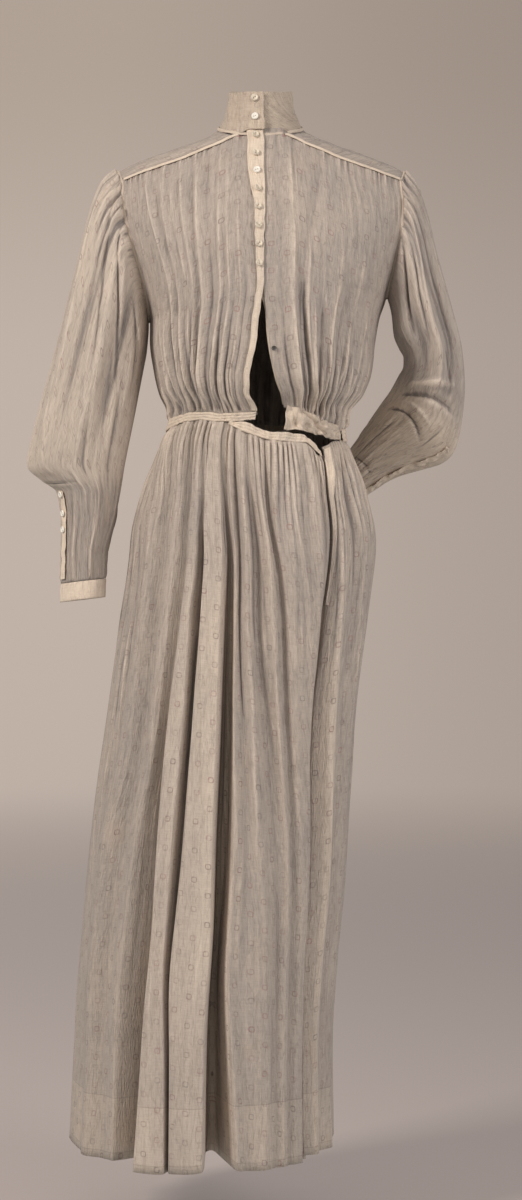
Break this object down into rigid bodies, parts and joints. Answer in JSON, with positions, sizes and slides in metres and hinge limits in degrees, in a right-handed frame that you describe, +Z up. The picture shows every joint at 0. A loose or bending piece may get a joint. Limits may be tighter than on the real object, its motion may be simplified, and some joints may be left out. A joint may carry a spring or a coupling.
{
  "type": "cotton dress",
  "caption": "Long cotton day dress in its worn, hollow form: stand collar, gathered bodice buttoned at the front, full sleeves with narrow cuffs, waistband and long gathered skirt.",
  "frame": {"origin": "at the neck, 17 mm below the front neck seam, level with the shoulders, where the wearer's shoulders and neck hold the dress up", "axes": "+Z up, +X to the wearer's left, the front faces -Y"},
  "size_m": [0.5754, 0.4384, 1.3883],
  "materials": {
    "voile": "thin matt cotton voile, sparse print of small rings",
    "doubled_cloth": "the same cotton doubled, matt and cream",
    "pearl": "shell pearl, softly glossy"
  },
  "bodies": {
    "root": {"bodice_back": "voile", "bodice_front_left": "voile", "bodice_front_right": "voile", "button_front_1": "pearl", "button_front_10": "pearl", "button_front_2": "pearl", "button_front_3": "pearl", "button_front_4": "pearl", "button_front_5": "pearl", "button_front_6": "pearl", "button_front_7": "pearl", "button_front_8": "pearl", "button_front_9": "pearl", "button_inner": "pearl", "button_sleeve_1": "pearl", "button_sleeve_2": "pearl", "button_sleeve_3": "pearl", "collar": "doubled_cloth", "cuff_left": "doubled_cloth", "cuff_right": "doubled_cloth", "placket_left": "doubled_cloth", "placket_right": "doubled_cloth", "skirt_back": "voile", "skirt_band": "doubled_cloth", "skirt_front": "voile", "skirt_placket": "doubled_cloth", "sleeve_left": "voile", "sleeve_placket_left": "doubled_cloth", "sleeve_placket_right": "doubled_cloth", "sleeve_right": "voile", "waistband": "doubled_cloth", "waistband_front_left": "doubled_cloth", "yoke": "voile"}
  },
  "joints": []
}
